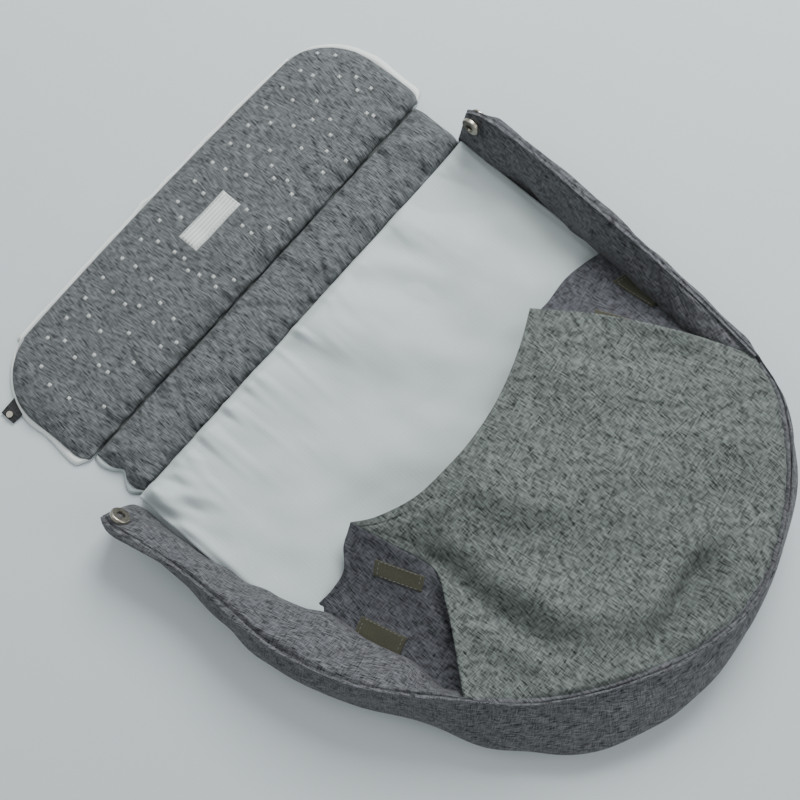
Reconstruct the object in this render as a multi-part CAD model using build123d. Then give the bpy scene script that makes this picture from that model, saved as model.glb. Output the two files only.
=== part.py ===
"""Apron for a pram carrycot, turned inside out and lying open on its outer face.

The head end points to +Y and the foot end to -Y.  The padded base carries a white lining, two padded
side walls and a padded foot wall stand up round it, a foot pouch is sewn across the foot wall, and a
quilted collar (a narrow strip and a wide flap) lies opened out flat beyond the head end.
All sizes are in millimetres.  The origin is under the middle of the whole outline, on the floor.
"""
from build123d import *
import math
import os

# ---- overall outline ----
body_width = 420.0          # full width of the foot curve at its widest
body_length = 395.0         # seam at the collar to the tip of the foot
strip_depth = 48.0          # collar strip, from the body seam to the quilting seam
flap_depth = 102.0          # collar flap, from the quilting seam to its outer edge
flap_width = 390.0          # collar flap, over its piping
widest_from_seam = 100.0    # where the foot curve starts to draw in
foot_fullness = 2.2         # exponent of the foot curve: 2 is an ellipse, more is squarer

# ---- cloth ----
cloth = 1.0                 # outer fabric, facings and linings
base_wadding = 5.0          # wadding under the lining
fold_gap = 0.6              # slit between two pieces that a fold joins
layer_ease = 0.3            # between pieces that are only stitched along an edge
wadding_ease = 0.2          # round the wadding in the curved foot wall

# ---- side walls ----
wall_thickness = 8.0        # padded wall, cover to facing
wall_height = 45.0          # from the fold's axis to the middle of the padded rim
left_lean = 35.0            # degrees outward from upright
right_lean = 3.0
left_fold_x = 181.0         # from the middle of the body to each wall's fold axis
right_fold_x = 191.0
wall_beyond_seam = 6.0      # the wall tips reach past the collar seam by this much
tip_radius = 18.0           # rounding of each tip
wall_split_from_seam = 170.5  # where the folding wall ends and the foot wall begins

# ---- foot wall ----
foot_height = 56.0
foot_bulge_height = 25.0    # the wall stands out furthest at this height
foot_bottom_inset = 8.0     # how far the wall draws in at the floor
foot_top_inset = 13.0       # and at its top edge
foot_thickness = 10.0
curve_steps = 12            # points that shape the foot curve
overshoot = 12.0            # how far a cutting shape runs past what it cuts

# ---- foot pouch ----
pouch_hinge_from_seam = 272.5  # the loose front half folds back about this line
pouch_cloth = 1.2
mouth_half_width = 100.0
mouth_from_seam = 132.5     # the two front corners
mouth_dip = 28.0            # how far the mouth curves back between them
side_ease = 3.0             # from the pouch to the foot wall, at the hinge line
hem_width = 8.0
binding_overlap = 7.0       # how far the binding lies over the pouch
binding_ease = 1.0          # from the wall's outer edge to the binding
binding_clear = 6.0         # from the pouch's hinge line to the binding's ends

# ---- wings ----
wing_corner_height = 28.0   # outer front corner, above the floor
wing_wall_ease = 11.0       # from its outer front corner to the side wall's foot
wing_corner_along = 29.0    # how far back along the fold that corner lies
wing_rear_clear = 20.0      # fold left free between the wing and the pouch's hinge
wing_tail = 6.0             # width at the rear end
wing_fold_ease = 1.2
wing_cloth = 2.0
patch_length = 38.0         # hook-and-loop tape
patch_width = 16.0
patch_thickness = 1.6
front_patch = (34.0, 14.0)  # along the fold, out from the fold
rear_patch = (56.0, 37.0)
rear_patch_turn = 4.0       # degrees off the wing's outer edge

# ---- collar ----
pad_height = 12.0
pad_bevel = 5.0             # the pads thin out by this much at their seams
collar_side_ease = 2.0      # from the collar strip to the standing walls
flap_corner = 40.0          # outer corners
flap_seam_corner = 12.0     # corners beside the quilting seam
piping_width = 4.0
piping_height = 4.0
piping_bevel = 1.2

square_size = 3.0           # embroidered squares
square_height = 0.4
square_pitch_x = 27.0
square_pitch_y = 14.5
square_margin = 14.0
badge_length = 50.0
badge_width = 18.0
badge_height = 0.8
badge_x = 10.0
badge_from_edge = 46.0      # middle of the badge, from the flap's outer edge
badge_clear = 4.0

tab_length = 21.0
tab_width = 14.0
tab_cloth = 1.5
tab_out = 6.0               # how far it shows past the flap's widest line
tab_from_edge = 32.0
tab_stud_radius = 2.5
tab_stud_height = 1.5
tab_stud_inset = 3.2        # stud's middle, from the tab's outer end

# ---- press studs ----
stud_from_tip = 11.0        # stud's middle, from the wall's head end
stud_height = 36.0          # stud's middle, above the wall's fold axis
stud_flange_radius = 7.5
stud_cap_height = 1.8
stud_cap_round = 1.2
washer_radius = 6.8
washer_thickness = 0.8
shank_radius = 2.2
shank_ease = 0.2
socket_height = 2.8
socket_bore_radius = 3.2
socket_groove_height = 1.0
spring_wire = 0.3           # radius of the wire
spring_set_back = 0.4       # from the bore to the wire
spring_ease = 0.4           # from the wire to the bottom of its groove

# ---- places that follow from the sizes above ----
total_length = body_length + strip_depth + flap_depth
flap_edge_y = total_length / 2
quilt_seam_y = flap_edge_y - flap_depth
body_seam_y = quilt_seam_y - strip_depth
foot_centre_y = body_seam_y - widest_from_seam
foot_reach = body_length - widest_from_seam
wall_split_y = body_seam_y - wall_split_from_seam
wall_head_y = body_seam_y + wall_beyond_seam
pouch_hinge_y = body_seam_y - pouch_hinge_from_seam
mouth_y = body_seam_y - mouth_from_seam
wall_radius = wall_thickness / 2
spring_radius = socket_bore_radius + spring_set_back + spring_wire
socket_groove_radius = spring_radius + spring_wire + spring_ease
LEFT = -1
RIGHT = 1
wall_lean = {LEFT: left_lean, RIGHT: right_lean}
side_name = {LEFT: "left", RIGHT: "right"}
hinge_x = {LEFT: left_fold_x, RIGHT: right_fold_x}


def write(name, shape):
    """Save one piece, or one group of like pieces, as its own file."""
    export_step(shape, "parts/" + name + ".step")


# ---- foot curve ----
def foot_half_width(y, inset):
    """Half the width inside the foot curve at y, drawn in by inset."""
    along = (foot_centre_y - y) / (foot_reach - inset)
    return (body_width / 2 - inset) * (1 - along ** foot_fullness) ** (1 / foot_fullness)


def foot_plan(inset, z, y_head):
    """The foot's outline at one height, closed by a straight line at y_head."""
    across = body_width / 2 - inset
    along = foot_reach - inset
    start = math.asin(((foot_centre_y - y_head) / along) ** (foot_fullness / 2))
    points = []
    for step in range(curve_steps + 1):
        angle = start + (math.pi - 2 * start) * step / curve_steps
        x = across * math.copysign(abs(math.cos(angle)) ** (2 / foot_fullness), math.cos(angle))
        y = foot_centre_y - along * math.sin(angle) ** (2 / foot_fullness)
        points.append((x, y, z))
    return make_face([Spline(*points), Line(points[-1], points[0])])


def foot_block(inset, y_head):
    """Everything inside the foot wall's face that lies this far in, up to the wall's top."""
    low = foot_plan(foot_bottom_inset + inset, 0, y_head)
    middle = foot_plan(inset, foot_bulge_height, y_head)
    high = foot_plan(foot_top_inset + inset, foot_height, y_head)
    return loft([low, middle, high], ruled=True)


def foot_layer(outer, inner):
    """One layer of the foot wall, between two depths below its outer face."""
    y_head = wall_split_y - fold_gap / 2
    return foot_block(outer, y_head) - foot_block(inner, y_head + overshoot)


# ---- base ----
def base_plan():
    """Outline of the flat base inside the walls."""
    low_x = -(hinge_x[LEFT] - wall_radius - fold_gap)
    high_x = hinge_x[RIGHT] - wall_radius - fold_gap
    head = Rectangle(high_x - low_x, body_seam_y - fold_gap / 2 - wall_split_y)
    head = Pos((low_x + high_x) / 2, (body_seam_y - fold_gap / 2 + wall_split_y) / 2) * head
    foot = foot_plan(foot_bottom_inset + foot_thickness + layer_ease, 0, wall_split_y)
    return head + foot


def make_base():
    plan = base_plan()
    write("base_outer_shell", extrude(plan, cloth))
    write("base_wadding", Pos(0, 0, cloth) * extrude(plan, base_wadding))
    write("base_lining", Pos(0, 0, cloth + base_wadding) * extrude(plan, cloth))


def make_foot_wall():
    write("foot_wall_cover", foot_layer(0, cloth))
    write("foot_wall_wadding", foot_layer(cloth + wadding_ease, foot_thickness - cloth - wadding_ease))
    write("foot_wall_facing", foot_layer(foot_thickness - cloth, foot_thickness))


# ---- foot pouch ----
def pouch_rear_plan(inset, z):
    """The sewn-down rear half of the pouch, inside the top of the foot wall."""
    y_head = pouch_hinge_y - fold_gap / 2
    return foot_plan(foot_top_inset + inset, z, y_head)


def make_pouch_rear():
    inset = foot_thickness + layer_ease
    panel = extrude(pouch_rear_plan(inset, foot_height - pouch_cloth), pouch_cloth, dir=(0, 0, 1))
    lining_z = foot_height - pouch_cloth - cloth
    lining = extrude(pouch_rear_plan(inset, lining_z), cloth, dir=(0, 0, 1))
    write("pouch_rear_panel", panel)
    write("pouch_rear_lining", lining)
    plan = foot_plan(foot_top_inset + binding_ease, foot_height, pouch_hinge_y - binding_clear)
    ring = extrude(plan, cloth, dir=(0, 0, 1))
    inner = foot_plan(foot_top_inset + foot_thickness + binding_overlap, foot_height, pouch_hinge_y)
    write("foot_rim_binding", ring - extrude(inner, cloth, dir=(0, 0, 1)))


def fold_rear_x():
    """Where the side folds of the pouch meet its hinge line."""
    inset = foot_top_inset + foot_thickness + layer_ease
    return foot_half_width(pouch_hinge_y, inset) - side_ease


def pouch_front_plan(setback):
    """The loose front half: a concave mouth between two slanting side folds."""
    rear_y = pouch_hinge_y + fold_gap / 2
    fold_angle = math.atan2(mouth_y - pouch_hinge_y, fold_rear_x() - mouth_half_width)
    side_shift = fold_gap / math.sin(fold_angle)
    front = mouth_half_width - side_shift
    rear = fold_rear_x() - side_shift
    mouth = ThreePointArc((-front, mouth_y - setback), (0, mouth_y - mouth_dip - setback),
                          (front, mouth_y - setback))
    rest = Polyline((front, mouth_y - setback), (rear, rear_y), (-rear, rear_y),
                    (-front, mouth_y - setback))
    return make_face([mouth, *rest.edges()])


def make_pouch_front():
    plan = pouch_front_plan(0)
    panel_z = foot_height - pouch_cloth
    lining_z = panel_z - cloth
    write("pouch_front_panel", Pos(0, 0, panel_z) * extrude(plan, pouch_cloth, dir=(0, 0, 1)))
    write("pouch_front_lining", Pos(0, 0, lining_z) * extrude(plan, cloth, dir=(0, 0, 1)))
    hem_plan = plan - pouch_front_plan(hem_width)
    hem = extrude(hem_plan, cloth, dir=(0, 0, 1))
    hem = hem - Pos(0, mouth_y - mouth_dip - hem_width - body_length / 2) * Box(
        body_width, body_length, 3 * cloth)
    write("pouch_mouth_hem", Pos(0, 0, lining_z - cloth) * hem)


# ---- wings ----
def wing_plane():
    """Plane of the right wing: x runs back along the fold, y runs outward and down to the corner."""
    along = Vector(fold_rear_x() - mouth_half_width, pouch_hinge_y - mouth_y, 0).normalized()
    outward = Vector(-along.Y, along.X, 0)
    corner_x = min(hinge_x.values()) - wall_radius - wing_wall_ease
    level_reach = (corner_x - mouth_half_width - along.X * wing_corner_along) / outward.X
    down = (outward * level_reach - Vector(0, 0, foot_height - wing_corner_height)).normalized()
    return Plane(origin=(mouth_half_width, mouth_y, foot_height), x_dir=along, z_dir=along.cross(down))


def wing_piece(shape, side):
    """Place a shape drawn in the right wing's plane on either side."""
    placed = wing_plane() * shape
    return placed if side == RIGHT else mirror(placed, about=Plane.YZ)


def wing_outline():
    """The right wing in its own plane: narrow at the rear, wide beside the mouth."""
    reach = (foot_height - wing_corner_height) / -wing_plane().y_dir.Z
    fold = math.hypot(fold_rear_x() - mouth_half_width, mouth_y - pouch_hinge_y)
    length = fold - wing_rear_clear
    return [(wing_fold_ease, wing_fold_ease), (wing_corner_along, reach), (length, wing_tail),
            (length, wing_fold_ease)]


def wing_patch(place, turn):
    along, out = place
    patch = Box(patch_length, patch_width, patch_thickness)
    return Pos(along, out, patch_thickness / 2) * Rot(0, 0, turn) * patch


def make_wing(side):
    name = side_name[side]
    outline = wing_outline()
    front_inner, front_outer, tail = outline[:3]
    plan = make_face(Polyline(*outline, close=True))
    write(name + "_wing_panel", wing_piece(extrude(plan, -wing_cloth), side))
    slope = math.atan2(front_outer[1] - front_inner[1], front_outer[0] - front_inner[0])
    length = math.hypot(front_outer[1] - front_inner[1], front_outer[0] - front_inner[0])
    hem = Pos(length / 2, -hem_width / 2) * Box(length - 2 * hem_width, hem_width, cloth)
    hem = Pos(*front_inner) * Rot(0, 0, math.degrees(slope)) * hem
    write(name + "_wing_hem", wing_piece(Pos(0, 0, -wing_cloth - cloth / 2) * hem, side))
    slant = math.degrees(math.atan2(tail[1] - front_outer[1], tail[0] - front_outer[0]))
    write(name + "_wing_front_patch", wing_piece(wing_patch(front_patch, 0), side))
    write(name + "_wing_rear_patch", wing_piece(wing_patch(rear_patch, slant + rear_patch_turn), side))


# ---- side walls, drawn upright with the fold's axis on Y and the outside towards +X ----
def wall_core(radius):
    """Upright padded slab with round edges, cut to the wall's side view."""
    slot = Pos(0, wall_height / 2) * Rot(0, 0, 90) * SlotCenterToCenter(wall_height, 2 * radius)
    length = wall_head_y - wall_split_y - fold_gap / 2
    slab = extrude(Plane.XZ.offset(-wall_head_y) * slot, length)
    return slab & wall_side_view()


def wall_side_view():
    """The wall's side view, with its head tip rounded."""
    low = -wall_radius
    high = wall_height + wall_radius
    middle_y = (wall_head_y + wall_split_y) / 2
    view = Rectangle(wall_head_y - wall_split_y, high - low)
    view = fillet(view.vertices().sort_by(Axis.X)[-2:].sort_by(Axis.Y)[-1:], tip_radius)
    view = Pos(middle_y, (low + high) / 2) * view
    return extrude(Plane.YZ * view, 2 * wall_thickness, both=True)


def on_stud_axis(shape):
    """Turn a shape drawn along +Z so that it points out through the wall at the stud."""
    return Pos(0, wall_head_y - stud_from_tip, stud_height) * Rot(0, 90, 0) * shape


def standing(shape, side):
    """Lean an upright wall piece outward and set it on its fold."""
    if side == LEFT:
        shape = mirror(shape, about=Plane.YZ)
    return Pos(side * hinge_x[side], 0, wall_radius) * Rot(0, side * wall_lean[side], 0) * shape


def make_wall(side):
    name = side_name[side]
    hole = on_stud_axis(Cylinder(shank_radius + shank_ease, 2 * wall_thickness))
    shell = wall_core(wall_radius) - wall_core(wall_radius - cloth) - hole
    half = Pos(wall_thickness, 0, 0) * Box(2 * wall_thickness, 2 * body_length, 2 * body_length)
    write(name + "_wall_cover", standing(shell & half, side))
    write(name + "_wall_facing", standing(shell - half, side))
    write(name + "_wall_wadding", standing(wall_core(wall_radius - cloth) - hole, side))


# ---- press studs at the wall tips ----
def make_stud(side):
    name = side_name[side]
    washer = Cylinder(washer_radius, washer_thickness) - Cylinder(shank_radius, washer_thickness)
    washer = Pos(0, 0, wall_radius + washer_thickness / 2) * washer
    write(name + "_stud_washer", standing(on_stud_axis(washer), side))

    flange_z = wall_radius + washer_thickness
    flange = Cylinder(stud_flange_radius, stud_cap_height)
    flange = fillet(flange.edges().sort_by(Axis.Z)[-1:], stud_cap_round)
    shank_length = flange_z + wall_radius
    cap = Pos(0, 0, flange_z + stud_cap_height / 2) * flange
    cap = cap + Pos(0, 0, flange_z - shank_length / 2) * Cylinder(shank_radius, shank_length)
    write(name + "_stud_cap", standing(on_stud_axis(cap), side))

    socket_z = -wall_radius - socket_height / 2
    socket = Cylinder(stud_flange_radius, socket_height)
    socket = fillet(socket.edges().sort_by(Axis.Z)[:1], stud_cap_round)
    socket = socket - Cylinder(socket_bore_radius, socket_height)
    socket = socket - Cylinder(socket_groove_radius, socket_groove_height)
    write(name + "_stud_socket", standing(on_stud_axis(Pos(0, 0, socket_z) * socket), side))
    spring = Pos(0, 0, socket_z) * Torus(spring_radius, spring_wire)
    write(name + "_stud_spring", standing(on_stud_axis(spring), side))


# ---- collar ----
def padded_panel(outline, core_outline):
    """Cover and wadding of a pad whose top edges thin out."""
    body = Pos(0, 0, cloth) * extrude(outline, pad_height - cloth)
    body = chamfer(body.faces().sort_by(Axis.Z)[-1].edges(), pad_bevel)
    core = Pos(0, 0, cloth) * extrude(core_outline, pad_height - 2 * cloth)
    core = chamfer(core.faces().sort_by(Axis.Z)[-1].edges(), pad_bevel)
    return body - core, core


def strip_outline(inset):
    low_x = -(hinge_x[LEFT] - wall_radius - collar_side_ease)
    high_x = hinge_x[RIGHT] - wall_radius - collar_side_ease
    shape = Rectangle(high_x - low_x - 2 * inset, strip_depth - fold_gap - 2 * inset)
    return Pos((low_x + high_x) / 2, body_seam_y + strip_depth / 2) * shape


def flap_outline(side_inset, seam_inset):
    """Rounded flap outline; the seam side stays straight and has its own inset."""
    low_y = quilt_seam_y + seam_inset
    high_y = flap_edge_y - side_inset
    shape = Rectangle(flap_width - 2 * side_inset, high_y - low_y)
    shape = fillet(shape.vertices().group_by(Axis.Y)[-1], flap_corner - side_inset)
    shape = fillet(shape.vertices().group_by(Axis.Y)[0], flap_seam_corner - side_inset)
    return Pos(0, (low_y + high_y) / 2) * shape


def make_strip():
    cover, core = padded_panel(strip_outline(0), strip_outline(cloth))
    write("strip_cover", cover)
    write("strip_wadding", core)
    write("strip_back_lining", extrude(strip_outline(0), cloth))


def tab_shape():
    """Small cloth tab sewn into the flap's left edge, above the back lining."""
    middle_x = -(flap_width / 2 + tab_out) + tab_length / 2
    return Pos(middle_x, flap_edge_y - tab_from_edge, cloth + tab_cloth / 2) * Box(
        tab_length, tab_width, tab_cloth)


def piping_ring():
    """White edge round the flap, which stops at the corners beside the quilting seam."""
    seam = fold_gap / 2
    outer = extrude(flap_outline(0, seam), piping_height)
    outer = chamfer(outer.edges().group_by(Axis.Z)[-1], piping_bevel)
    ring = outer - extrude(flap_outline(piping_width, seam), piping_height)
    piped = Box(2 * flap_width, 2 * (flap_depth - flap_seam_corner), 3 * piping_height)
    return Pos(0, 0, cloth) * (ring & Pos(0, flap_edge_y, 0) * piped)


def square_places():
    """Middles of the embroidered squares: staggered rows that leave the badge free."""
    places = []
    rows = int((flap_depth - 2 * square_margin) / square_pitch_y) + 1
    columns = int((flap_width / 2 - square_margin) / square_pitch_x)
    for row in range(rows):
        y = flap_edge_y - square_margin - row * square_pitch_y
        for column in range(-columns, columns + 1):
            x = (column + 0.5 * (row % 2) - 0.25) * square_pitch_x
            beside = abs(x - badge_x) > badge_length / 2 + badge_clear
            above = abs(y - flap_edge_y + badge_from_edge) > badge_width / 2 + badge_clear
            if abs(x) < flap_width / 2 - 2 * square_margin and (beside or above):
                places.append((x, y))
    return places


def make_flap():
    seam = fold_gap / 2
    tab = tab_shape()
    cover, core = padded_panel(flap_outline(piping_width, seam),
                               flap_outline(piping_width + cloth, seam + cloth))
    write("flap_cover", cover - tab)
    write("flap_wadding", core - tab)
    write("flap_back_lining", extrude(flap_outline(0, seam), cloth))
    write("flap_piping", piping_ring() - tab)
    write("flap_tab", tab)
    stud_x = -(flap_width / 2 + tab_out) + tab_stud_inset
    stud_z = cloth + tab_cloth + tab_stud_height / 2
    stud = Pos(stud_x, flap_edge_y - tab_from_edge, stud_z) * Cylinder(tab_stud_radius, tab_stud_height)
    write("flap_tab_stud", stud)
    square = Box(square_size, square_size, square_height)
    squares = [Pos(x, y, pad_height + square_height / 2) * square for x, y in square_places()]
    write("embroidered_squares", Compound(squares))
    badge = Box(badge_length, badge_width, badge_height)
    badge_z = pad_height + badge_height / 2
    write("flap_badge", Pos(badge_x, flap_edge_y - badge_from_edge, badge_z) * badge)


os.makedirs("parts", exist_ok=True)
make_base()
make_foot_wall()
make_pouch_rear()
make_pouch_front()
make_strip()
make_flap()
for side in (LEFT, RIGHT):
    make_wing(side)
    make_wall(side)
    make_stud(side)
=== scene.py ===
import math

import bpy
import numpy as np
from mathutils import Matrix, Vector, noise
from mathutils.bvhtree import BVHTree


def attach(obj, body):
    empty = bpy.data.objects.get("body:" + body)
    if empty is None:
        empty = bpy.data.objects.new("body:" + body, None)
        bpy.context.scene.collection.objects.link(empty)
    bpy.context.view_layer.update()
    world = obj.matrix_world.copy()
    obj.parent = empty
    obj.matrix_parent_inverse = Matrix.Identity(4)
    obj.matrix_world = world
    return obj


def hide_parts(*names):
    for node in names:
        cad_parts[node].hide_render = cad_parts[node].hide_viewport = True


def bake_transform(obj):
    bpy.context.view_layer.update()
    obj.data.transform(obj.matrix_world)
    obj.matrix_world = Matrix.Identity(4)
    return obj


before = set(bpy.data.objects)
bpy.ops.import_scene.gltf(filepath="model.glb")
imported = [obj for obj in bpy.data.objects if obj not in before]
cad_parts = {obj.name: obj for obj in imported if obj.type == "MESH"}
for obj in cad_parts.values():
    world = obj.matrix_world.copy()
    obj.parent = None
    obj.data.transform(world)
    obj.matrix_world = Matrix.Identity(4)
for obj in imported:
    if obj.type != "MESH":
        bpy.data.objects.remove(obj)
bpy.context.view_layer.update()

# ---- Room ----
# A pale blue-grey bed sheet pulled flat under the apron. It is the ground the apron lies on, with a
# large overhead softbox, a dimmer one behind the head end and a weak fill from the foot end.
MM = 0.001


def linear(hex_colour):
    """An sRGB hex colour as linear RGBA."""
    parts = [int(hex_colour[i:i + 2], 16) / 255 for i in (1, 3, 5)]
    return tuple(c / 12.92 if c <= 0.04045 else ((c + 0.055) / 1.055) ** 2.4 for c in parts) + (1.0,)


def node(material, kind, settings=None, inputs=None):
    """Add a shader node with its settings; an input is a number, a colour or another node's output."""
    made = material.node_tree.nodes.new(kind)
    for key, value in (settings or {}).items():
        setattr(made, key, value)
    for key, value in (inputs or {}).items():
        if isinstance(value, bpy.types.NodeSocket):
            material.node_tree.links.new(value, made.inputs[key])
        else:
            made.inputs[key].default_value = value
    return made


def new_material(name):
    """An empty material with its output and main shader."""
    made = bpy.data.materials.new(name)
    made.use_nodes = True
    return made, made.node_tree.nodes["Principled BSDF"]


def deselect():
    for each in bpy.context.selected_objects:
        each.select_set(False)


sheet_cloth, shader = new_material("pale_cotton_ground")
place = node(sheet_cloth, "ShaderNodeTexCoord").outputs["Object"]
cloudy = node(sheet_cloth, "ShaderNodeTexNoise", inputs={"Vector": place, "Scale": 3.0, "Detail": 3.0})
tone = node(sheet_cloth, "ShaderNodeMix", {"data_type": "RGBA"},
            {"Factor": cloudy.outputs["Fac"], "A": linear("#bfc8cb"), "B": linear("#c9d2d5")})
sheet_cloth.node_tree.links.new(tone.outputs["Result"], shader.inputs["Base Color"])
shader.inputs["Roughness"].default_value = 0.9
deselect()
bpy.ops.mesh.primitive_plane_add(size=4, location=(0, 0, -0.0002))
ground = bpy.context.active_object
ground.name = "ground"
ground.data.materials.append(sheet_cloth)

world = bpy.data.worlds.new("soft_daylight")
bpy.context.scene.world = world
world.use_nodes = True
world.node_tree.nodes["Background"].inputs["Color"].default_value = linear("#edf1f2")
world.node_tree.nodes["Background"].inputs["Strength"].default_value = 0.54


def softbox(name, place_m, aim_m, size_m, power):
    lamp = bpy.data.objects.new(name, bpy.data.lights.new(name, "AREA"))
    lamp.data.size = size_m
    lamp.data.energy = power
    lamp.location = place_m
    lamp.rotation_euler = (Vector(aim_m) - Vector(place_m)).to_track_quat("-Z", "Y").to_euler()
    bpy.context.scene.collection.objects.link(lamp)


softbox("overhead_softbox", (1.05, 0.42, 1.15), (0, 0, 0), 0.8, 32)
softbox("head_end_softbox", (-0.4, 1.2, 1.2), (0, 0, 0), 0.9, 6)
softbox("foot_end_fill", (0.45, -1.3, 0.8), (0, 0, 0), 1.2, 9)

camera = bpy.data.objects.new("camera", bpy.data.cameras.new("camera"))
camera.data.lens = 54
camera.location = (-0.1422, -0.0945, 0.8803)
camera.rotation_euler = (Vector((0, 0.027, 0)) - camera.location).to_track_quat("-Z", "Y").to_euler()
bpy.context.scene.collection.objects.link(camera)
bpy.context.scene.camera = camera


# ---- Grey walls ----
# Padded band sewn round the base: one length makes the left side and the foot, a second the right
# side. Each is melange polyester over wadding, folded over at the rim and topstitched through.


def run(points, at):
    """Points on a smooth line through the given ones; at counts along them from 0."""
    points = np.array(points, float)
    at = np.clip(np.asarray(at, float), 0, len(points) - 1)
    i = np.minimum(at.astype(int), len(points) - 2)
    t = (at - i).reshape(at.shape + (1,) * (points.ndim - 1))
    before, first = points[np.maximum(i - 1, 0)], points[i]
    second, after = points[i + 1], points[np.minimum(i + 2, len(points) - 1)]
    return 0.5 * (2 * first + (second - before) * t + (2 * before - 5 * first + 4 * second - after) * t ** 2
                  + (3 * first - before - 3 * second + after) * t ** 3)


def smooth(low, high, x):
    """0 below low, 1 above high, and a soft step between."""
    t = np.clip((np.asarray(x, float) - low) / (high - low), 0, 1)
    return t * t * (3 - 2 * t)


def lumps(x, y, size, seed, octaves=2):
    """Soft random height, about -1 to 1, with bumps about size across."""
    x, y = np.broadcast_arrays(np.asarray(x, float) / size, np.asarray(y, float) / size)
    flat = [noise.fractal(Vector((a + 17.3 * seed, b - 9.1 * seed, 3.7 * seed)), 1.0, 2.0, octaves)
            for a, b in zip(x.ravel(), y.ravel())]
    return np.array(flat).reshape(x.shape)


def facing(points):
    """Unit normals of a grid of points, rows along and columns across."""
    across = np.gradient(points, axis=1)
    along = np.gradient(points, axis=0)
    n = np.cross(across, along)
    return n / np.maximum(np.linalg.norm(n, axis=2, keepdims=True), 1e-9)


def lay_cloth(name, points, weld=False, flip=False, around=False):
    """A grid primitive laid over rows of points in mm, with its map in metres: the cloth's own straight
    grain for a sheet, or along and round a band."""
    rows, columns = points.shape[:2]
    deselect()
    bpy.ops.mesh.primitive_grid_add(x_subdivisions=columns - 1, y_subdivisions=rows - 1, size=2)
    piece = bpy.context.active_object
    piece.name = piece.data.name = name
    mesh = piece.data
    flat = np.zeros(len(mesh.vertices) * 3)
    mesh.vertices.foreach_get("co", flat)
    flat = flat.reshape(-1, 3)
    column = np.rint((flat[:, 0] + 1) / 2 * (columns - 1)).astype(int)
    row = np.rint((flat[:, 1] + 1) / 2 * (rows - 1)).astype(int)
    u, v = points[..., 0], points[..., 1]
    if around:
        u = np.concatenate([np.zeros((rows, 1)), np.cumsum(
            np.linalg.norm(np.diff(points, axis=1), axis=2), axis=1)], axis=1)
        v = np.concatenate([np.zeros((1, columns)), np.cumsum(
            np.linalg.norm(np.diff(points, axis=0), axis=2), axis=0)], axis=0)
        v = np.broadcast_to(v.mean(axis=1, keepdims=True), v.shape)
    mesh.vertices.foreach_set("co", (points[row, column] * MM).ravel())
    loop_vertex = np.zeros(len(mesh.loops), int)
    mesh.loops.foreach_get("vertex_index", loop_vertex)
    chart = np.stack([u[row, column], v[row, column]], axis=1)[loop_vertex] * MM
    mesh.uv_layers[0].data.foreach_set("uv", chart.ravel())
    mesh.update()
    bpy.ops.object.mode_set(mode="EDIT")
    bpy.ops.mesh.select_all(action="SELECT")
    if weld:
        bpy.ops.mesh.remove_doubles(threshold=0.00002)
        bpy.ops.mesh.fill_holes(sides=0)
        bpy.ops.mesh.normals_make_consistent(inside=False)
    elif flip:
        bpy.ops.mesh.flip_normals()
    bpy.ops.object.mode_set(mode="OBJECT")
    bpy.ops.object.shade_smooth()
    return piece


def apply_all(piece):
    deselect()
    bpy.context.view_layer.objects.active = piece
    piece.select_set(True)
    for each in list(piece.modifiers):
        bpy.ops.object.modifier_apply(modifier=each.name)


def thicken(piece, thickness_mm):
    """Give a single layer of cloth its thickness, downwards from its face."""
    wall = piece.modifiers.new("thickness", "SOLIDIFY")
    wall.thickness = thickness_mm * MM
    wall.offset = -1.0
    apply_all(piece)


YARN = 0.5     # mm between yarns
FIBRE = 8.0    # mm that a pale or dark streak runs along a yarn
YARN_SHIFT = 90.0   # most streak lengths that one yarn starts from its neighbour
SPREAD = 0.25       # how far from the middle the fibres turn fully pale or fully dark


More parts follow.
